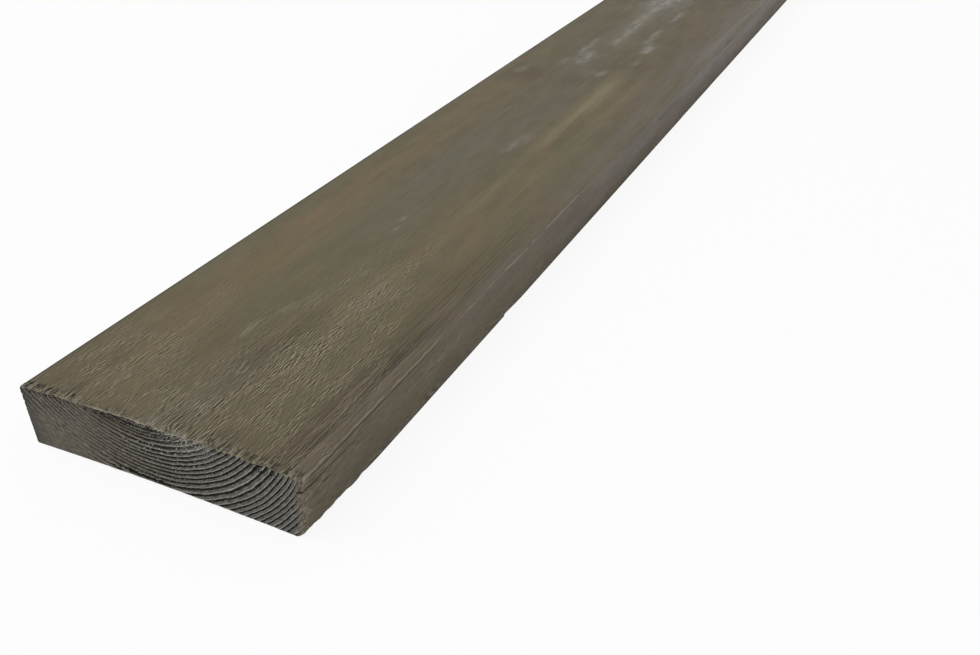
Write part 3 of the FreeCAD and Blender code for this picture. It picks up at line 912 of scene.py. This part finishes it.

# %% [markdown]
# Along the right edge run three hairlines: the end of the drying split, a dark line under the top
# arris and a painted highlight, a pale line where the light catches the rounded arris. Each is a thin
# straight band that can fall as it goes and dies out at both ends. As masks they cost no faces, and
# they stay sharp close up.

# %% Hairline group
hairline_group, wire, given, result = new_group(
    "hairline",
    {"Place": "Vector"} | dict.fromkeys(("Height", "Fall", "Start", "End", "Width"), "Float"),
    {"Mask": "Float"},
)
parts = wire.put("ShaderNodeSeparateXYZ", {0: given["Place"]})
middle = wire.sums("SUBTRACT", given["Height"], wire.times(parts[1], given["Fall"]))
waver = wire.sums("SUBTRACT", wire.noise(given["Place"], (5.0, 9.0, 5.0)), 0.5)
offset = wire.sums("ABSOLUTE", wire.sums("ADD", wire.sums("SUBTRACT", parts[2], middle), waver))
across = wire.ramp(offset, given["Width"], 0.0)
begins = wire.ramp(parts[1], given["Start"], wire.sums("ADD", given["Start"], 3.0))
ends = wire.ramp(parts[1], given["End"], wire.times(given["End"], 0.6))
wire.feed(result["Mask"], wire.times(across, wire.times(begins, ends)))
print(hairline_group.name, "nodes", len(hairline_group.nodes))

# %% [markdown]
# The long faces are brown-olive, dry and matt. A picture of wood would do from afar only, so the colour
# is mixed from noises that are stretched along the grain. The stains lie over them as glazes, and faint
# ring lines follow the same rings as the end.

# %% Weathered face: wood colour, stains and ring lines
STAIN_TINTS = {
    "ochre": paint(122, 103, 75),
    "straw": paint(146, 134, 101),
    "olive": paint(97, 95, 70),
    "slate": paint(103, 99, 88),
    "umber": paint(71, 63, 47),
    "mauve_and_sheen": paint(110, 101, 93),
    "chalk": paint(160, 158, 152),
    "bloom_and_sheen": paint(156, 153, 148),
}


def place_in_millimetres(wire):
    """Object coordinates in millimetres, with the second one counted from the near end."""
    spot = wire.put("ShaderNodeTexCoord")["Object"]
    feeds = {0: spot, 1: (METRE,) * 3, 2: (0.0, LENGTH / 2, 0.0)}
    return wire.put("ShaderNodeVectorMath", feeds, operation="MULTIPLY_ADD")[0]


def new_material(name, specular):
    """A new material, its wiring, its shader's inputs and its place in millimetres."""
    material = bpy.data.materials.new(name)
    material.use_nodes = True
    wire = Wiring(material.node_tree)
    shader = material.node_tree.nodes["Principled BSDF"].inputs
    shader["Specular IOR Level"].default_value = specular
    return material, wire, shader, place_in_millimetres(wire)


def set_relief(wire, shader, relief):
    """A relief in millimetres becomes the shader's bump."""
    feeds = {"Strength": 1.0, "Distance": 1 / METRE, "Height": relief}
    wire.feed(shader["Normal"], wire.put("ShaderNodeBump", feeds)[0])


face, wire, shader, place = new_material("weathered_face", 0.3)
streaks = wire.noise(place, (6.0, 160.0, 6.0), 4.0, 0.6)
threads = wire.noise(place, (1.6, 60.0, 1.6), 3.0, 0.6)
mottle = wire.noise(place, (12.0, 40.0, 12.0), 3.0, 0.6)
clouds = wire.noise(place, (5.0, 14.0, 5.0))
warm = wire.noise(place, (9.0, 48.0, 9.1), 2.0, 0.45)
wood = wire.mix(wire.ramp(threads, 0.3, 0.7), paint(98, 90, 67), paint(104, 95, 71))
wood = wire.glaze(wood, wire.ramp(mottle, 0.4, 0.6, 0.0, 0.6), 95, 90, 69)
wood = wire.glaze(wood, wire.ramp(warm, 0.5, 0.62, 0.0, 0.6), 110, 96, 69)
wood = wire.glaze(wood, wire.ramp(clouds, 0.42, 0.66, 0.0, 0.4), 112, 102, 78)
for stain, tint in STAIN_TINTS.items():
    edges = clouds if stain == "chalk" else streaks
    feeds = {"Color": wood, "Tint": tint, "Mask": stain, "Streaks": edges}
    wood = wire.group(stain_group, feeds)["Color"]
feeds = {"Path": wire.measure("grain_path", "Vector"), "Waver": 0.5}
feeds |= {"Limit Width": 0.16, "Late Width": 0.14, "Gap Length": 6.0}
rings = wire.group(ring_group, feeds)
grain = wire.measure("grain")
ring_line = wire.times(wire.times(rings["Limit"], wire.times(rings["Gaps"], grain)), 0.8)
wood = wire.glaze(wood, ring_line, 62, 50, 42)
print("stain tints", len(STAIN_TINTS))

# %% [markdown]
# Three sizes of raised fibre cover the faces: fine ones everywhere, stronger ones where the nap stands
# up, in loose patches, and long ones where the coarse grain shows near the right arris.

# %% Weathered face: raised fibres


def fibre_marks(wire, place, pitch, length, crispness=0.0):
    """The fibre group's outputs for dashes of this width and length in millimetres."""
    feeds = {"Place": place, "Pitch": pitch, "Length": length, "Crispness": crispness}
    return wire.group(fibre_group, feeds)


patches = wire.ramp(wire.noise(place, (6.0, 18.0, 6.0)), 0.42, 0.58, 0.35, 1.15)
nap = wire.times("nap", patches)
fine_marks = fibre_marks(wire, place, 0.5, 7.0, 1.0)
nap_marks = fibre_marks(wire, place, 0.5, 4.5, 1.0)
edge_marks = fibre_marks(wire, place, 0.6, 38.0)
edge_share = wire.times(wire.ramp(grain, 0.35, 0.9), 0.42)
# Painted light and shade on the raised fibres: each light dash is pale fibre with a painted lit side,
# each dark dash the painted shadow beside it.
wood = wire.glaze(wood, wire.times(fine_marks["Light"], wire.times_plus(nap, 0.25, 0.1)), 144, 133, 106)
wood = wire.glaze(wood, wire.times(fine_marks["Dark"], wire.times_plus(nap, 0.25, 0.14)), 58, 50, 39)
wood = wire.glaze(wood, wire.times(nap_marks["Light"], wire.times(nap, 0.78)), 166, 156, 132)
wood = wire.glaze(wood, wire.times(nap_marks["Dark"], wire.times(nap, 0.85)), 44, 37, 25)
wood = wire.glaze(wood, wire.times(edge_marks["Light"], edge_share), 130, 117, 98)
wood = wire.glaze(wood, wire.times(edge_marks["Dark"], edge_share), 46, 36, 28)
relief = wire.times(fine_marks["Height"], 0.08)
relief = wire.times_plus(nap_marks["Height"], wire.times(nap, 0.25), relief)
print("fibre marks so far", sum(node.type == "GROUP" for node in face.node_tree.nodes), "groups placed")

# %% [markdown]
# Edges tell how a board was handled. The saw left dark notches and pale tips along the sawn lip.
# Painted light and shade lie on the edges too: a painted highlight runs along the right arris, and
# painted shadow darkens the foot of the right edge and the left arris. Each is a mask from the mesh's
# own numbers or a hairline, so it stays on its edge from every side.

# %% Weathered face: lips, arrises and hairlines


def hairline(wire, place, height, start, end, width, fall=0.0):
    """The mask of one hairline, in millimetres up the right edge and along the board."""
    feeds = {"Place": place, "Height": height, "Fall": fall, "Start": start, "End": end, "Width": width}
    return wire.group(hairline_group, feeds)["Mask"]


split_end = hairline(wire, place, 25.0, -9.0, 50.0, 0.6, fall=0.02)
under_arris = hairline(wire, place, 29.2, 3.0, 130.0, 0.6)
# Painted highlight: a pale line where the light catches the rounded top arris of the right edge.
arris_highlight = hairline(wire, place, 30.6, -9.0, 420.0, 0.45)
on_edge = wire.measure("right_edge")
hairlines = wire.sums("MAXIMUM", wire.times(split_end, 0.85), wire.times(under_arris, 0.75))
hairlines = wire.times(hairlines, on_edge)
wood = wire.glaze(wood, hairlines, 52, 38, 31)
# Slow noise breaks the painted arris highlight into lengths.
highlight_breaks = wire.ramp(wire.noise(place, (30.0, 16.0, 30.0)), 0.36, 0.56, 0.25, 0.9)
wood = wire.glaze(wood, wire.times(wire.times(arris_highlight, on_edge), highlight_breaks), 156, 143, 122)
lip = wire.measure("lip")
notch_height = fibre_marks(wire, place, 1.2, 10.0)["Height"]
near_lip = wire.times(wire.ramp(lip, 0.12, 0.26), "notched")
notches = wire.times(wire.ramp(notch_height, 0.49, 0.44), near_lip)
wood = wire.glaze(wood, notches, 26, 23, 15)
tips = wire.times(wire.ramp(notch_height, 0.53, 0.6), near_lip)
wood = wire.glaze(wood, wire.times(tips, 0.28), 168, 160, 138)
lip_marks = fibre_marks(wire, place, 0.6, 4.0)
lip_light = wire.times(lip_marks["Light"], wire.ramp(lip, 0.2, 0.8, 0.0, 0.48))
lip_light = wire.sums("MAXIMUM", lip_light, wire.times("pale_lip", 0.75))
wood = wire.glaze(wood, lip_light, 170, 163, 144)
# Painted contact shadow, nearly black, along the foot of the right edge.
wood = wire.glaze(wood, wire.times("foot", 0.85), 30, 27, 22)
# Painted shade along the left top arris.
wood = wire.glaze(wood, wire.times("left_arris_shade", 0.85), 38, 35, 24)
relief = wire.times_plus(lip_marks["Height"], wire.times_plus(lip, 0.5, 0.1), relief)
for mask, sink in ((rings["Limit"], -0.08), (hairlines, -0.4), (notches, -0.7)):
    relief = wire.times_plus(mask, sink, relief)
wire.feed(shader["Base Color"], wood)
wire.feed(shader["Roughness"], wire.ramp(mottle, 0.3, 0.7, 0.58, 0.74))
set_relief(wire, shader, relief)
print(face.name, "nodes", len(face.node_tree.nodes))

# %% [markdown]
# The sawn end drinks in water and dirt. The torn early wood between the rings is nearly black, partly
# from dirt and partly from painted shade in the grooves, the hard late wood is pale grey, partly worn
# and partly a painted highlight on the ridges, and the left third, which the saw left smooth, stays
# brown. The relief makes the teeth, and the same ring count paints them, so that each line lies in its
# groove.

# %% Sawn end: wood and rings
end, wire, shader, place = new_material("sawn_end", 0.2)
grain_path = wire.measure("grain_path", "Vector")
across = wire.put("ShaderNodeSeparateXYZ", {0: place})[0]
speckle = wire.noise(place, (0.55, 0.55, 0.55), 3.0, 0.7)
mottle = wire.noise(place, (9.0, 9.0, 9.0), 3.0, 0.6)
greyness = wire.ramp(wire.times_plus(mottle, 40.0, across), -15.0, 70.0)
wood = wire.mix(greyness, paint(98, 90, 75), paint(98, 97, 93))
wood = wire.glaze(wood, wire.ramp(mottle, 0.35, 0.7, 0.0, 0.7), 88, 82, 73)
fine_lines = wire.noise(grain_path, (0.16, 3.5, 5.0), 1.0)
wood = wire.glaze(wood, wire.ramp(fine_lines, 0.52, 0.62, 0.0, 0.55), 138, 134, 125)
wood = wire.glaze(wood, wire.ramp(fine_lines, 0.48, 0.38, 0.0, 0.55), 50, 46, 39)
bite, loose, worn = wire.measure("ring_bite"), wire.measure("torn"), wire.measure("worn")
loosened = wire.sums("MAXIMUM", loose, worn)
feeds = {"Path": grain_path, "Waver": 0.0, "Gap Length": 1.0}
feeds["Limit Width"] = wire.times_plus(loosened, 0.26, 0.24)
feeds["Late Width"] = wire.times_plus(loosened, 0.08, 0.13)
rings = wire.group(ring_group, feeds)
gaps = wire.ramp(rings["Gaps"], 0.0, 0.5, 0.6, 1.0)
bruise = wire.measure("bruise")
unbruised = wire.sums("SUBTRACT", 1.0, wire.times(bruise, 0.7))
limit = wire.times(wire.times(rings["Limit"], wire.times(gaps, bite)), 2.6)
limit = wire.times(wire.sums("MINIMUM", limit, 0.98), unbruised)
late = wire.times(rings["Late Wood"], wire.times_plus(bite, 1.2, 0.05))
late = wire.sums("MINIMUM", wire.times(late, unbruised), 0.9)
tufts = wire.noise(place, (0.5, 0.5, 1.6), 2.0, 0.6)
tuft_color = wire.mix(wire.ramp(tufts, 0.4, 0.6), paint(78, 68, 58), paint(142, 132, 119))
wood = wire.mix(wire.times(bruise, 0.75), wood, tuft_color)
# Dark ring limits: dirt in the torn grooves and painted shade in them. Pale late wood: worn wood and a
# painted highlight on the ridges.
wood = wire.glaze(wood, limit, 14, 12, 9)
wood = wire.glaze(wood, late, 190, 187, 177)
print("ring tones laid,", len(end.node_tree.nodes), "nodes so far")

# %% [markdown]
# The end isn't the same all over. The left corner is darker, with a line of painted shade along its
# edge, a brown band lies under the lip, and a pale patch with clumps of loose fibre sits where a chip
# was scooped out. Flecks of bare wood catch the light, and the torn places are pitted. Each lies over
# the rings as a glaze of its own.

# %% Sawn end: worn and torn places
# The end's left corner is laid darker.
wood = wire.glaze(wood, wire.times("left_end_darker", 0.65), 66, 65, 60)
wood = wire.glaze(wood, wire.times("brown_end", 0.4), 56, 46, 32)
pale_end = wire.measure("pale_end")
pale = wire.times(pale_end, wire.ramp(speckle, 0.46, 0.56, 0.0, 0.55))
wood = wire.glaze(wood, pale, 168, 167, 156)
clumps = wire.ramp(wire.noise(place, (1.1, 1.1, 1.1)), 0.54, 0.62, 0.0, 0.7)
wood = wire.glaze(wood, wire.times(clumps, pale_end), 202, 200, 188)
# Painted shade along the end's left edge.
wood = wire.glaze(wood, wire.times("left_rim_shade", 0.75), 44, 42, 38)
lit = wire.times(wire.ramp(speckle, 0.52, 0.72, 0.0, 0.45), wire.times_plus(limit, -0.8, 1.0))
wood = wire.glaze(wood, lit, 146, 142, 132)
wood = wire.glaze(wood, wire.ramp(speckle, 0.46, 0.3, 0.0, 0.5), 44, 40, 33)
flecks = wire.ramp(wire.noise(place, (0.8, 0.8, 0.8), 1.0), 0.67, 0.72)
wood = wire.glaze(wood, wire.times(flecks, worn), 204, 198, 184)
pits = wire.ramp(wire.noise(grain_path, (0.3, 1.5, 5.0), 1.0), 0.5, 0.42)
wood = wire.glaze(wood, wire.times(wire.times(loose, pits), 0.85), 20, 17, 13)
wood = wire.glaze(wood, wire.times("crack", 0.9), 24, 19, 15)
wire.feed(shader["Base Color"], wood)
wire.feed(shader["Roughness"], wire.ramp(speckle, 0.3, 0.7, 0.9, 0.7))
set_relief(wire, shader, wire.times_plus(speckle, 0.35, wire.times(limit, -0.25)))
print(end.name, "nodes", len(end.node_tree.nodes))

# %% [markdown]
# A torn fibre is bare wood, bleached by the weather, and a little different from its neighbour. Its
# colour comes from the place where it stands, so one material serves them all.

# %% Fibres' finish
fibre_finish, wire, shader, place = new_material("bleached_fibre", 0.2)
shade = wire.noise(place, (1.5, 3.0, 1.5))
wood = wire.mix(wire.ramp(shade, 0.3, 0.7), paint(112, 104, 86), paint(200, 194, 176))
wire.feed(shader["Base Color"], wood)
wire.feed(shader["Roughness"], wire.ramp(shade, 0.3, 0.7, 0.7, 0.9))

board.data.materials.append(face)
board.data.materials.append(end)
fibres.data.materials.append(fibre_finish)
print("materials", [material.name for material in (face, end, fibre_finish)])

# %% [markdown]
# A plain pale floor and even, soft light, as in a studio tent. Many lamps could give it, but a white
# world and one large lamp do so with less. The floor shows white to the camera and still keeps the
# board's soft shadow, because part of what the camera sees of it is ordinary paint.

# %% Floor and light
FLOOR_REACH = 6.0
FLOOR_GLOW_SHARE = 0.9
TENT_LEVEL, LAMP_WATTS, LAMP_SIZE = 0.62, 34.0, 2.2
LAMP_PLACE, LAMP_TARGET = (-1.2, -1.9, 2.4), (0.0, -0.4, 0.0)
floor_mesh = bpy.data.meshes.new("floor")
corners = [(-1, -1), (1, -1), (1, 1), (-1, 1)]
floor_mesh.from_pydata([(x * FLOOR_REACH, y * FLOOR_REACH, 0) for x, y in corners], [], [(0, 1, 2, 3)])
floor = bpy.data.objects.new("floor", floor_mesh)
bpy.context.scene.collection.objects.link(floor)
floor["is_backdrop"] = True
floor_finish = bpy.data.materials.new("pale_floor")
floor_finish.use_nodes = True
wire = Wiring(floor_finish.node_tree)
floor_finish.node_tree.nodes.remove(floor_finish.node_tree.nodes["Principled BSDF"])
surface = floor_finish.node_tree.nodes["Material Output"].inputs["Surface"]
painted = wire.put("ShaderNodeBsdfDiffuse", {"Color": (0.92, 0.92, 0.92, 1.0)})[0]
glow = wire.put("ShaderNodeEmission", {"Color": (1.0, 1.0, 1.0, 1.0), "Strength": 1.0})[0]
share = wire.times(wire.put("ShaderNodeLightPath")["Is Camera Ray"], FLOOR_GLOW_SHARE)
wire.feed(surface, wire.put("ShaderNodeMixShader", {0: share, 1: painted, 2: glow})[0])
floor_mesh.materials.append(floor_finish)

world = bpy.data.worlds.new("studio_tent")
world.use_nodes = True
background = world.node_tree.nodes["Background"].inputs
background["Color"].default_value = (1.0, 1.0, 1.0, 1.0)
wire = Wiring(world.node_tree)
to_camera = wire.put("ShaderNodeLightPath")["Is Camera Ray"]
wire.feed(background["Strength"], wire.times_plus(to_camera, 1.0 - TENT_LEVEL, TENT_LEVEL))
bpy.context.scene.world = world

lamp_data = bpy.data.lights.new("overhead_tent", "AREA")
lamp_data.shape = "SQUARE"
lamp_data.size = LAMP_SIZE
lamp_data.energy = LAMP_WATTS
lamp = bpy.data.objects.new("overhead_tent", lamp_data)
lamp.location = LAMP_PLACE
back_x, back_y, back_z = np.subtract(LAMP_PLACE, LAMP_TARGET)
turn = math.atan2(back_y, back_x) + math.pi / 2
lamp.rotation_euler = (math.atan2(np.hypot(back_x, back_y), back_z), 0.0, turn)
bpy.context.scene.collection.objects.link(lamp)
print("tent level", TENT_LEVEL, "lamp", LAMP_WATTS, "W")

# %% [markdown]
# Last, the box of what shows is printed beside the CAD model's own.

# %% Finish
print("visual box", box_as_lists())
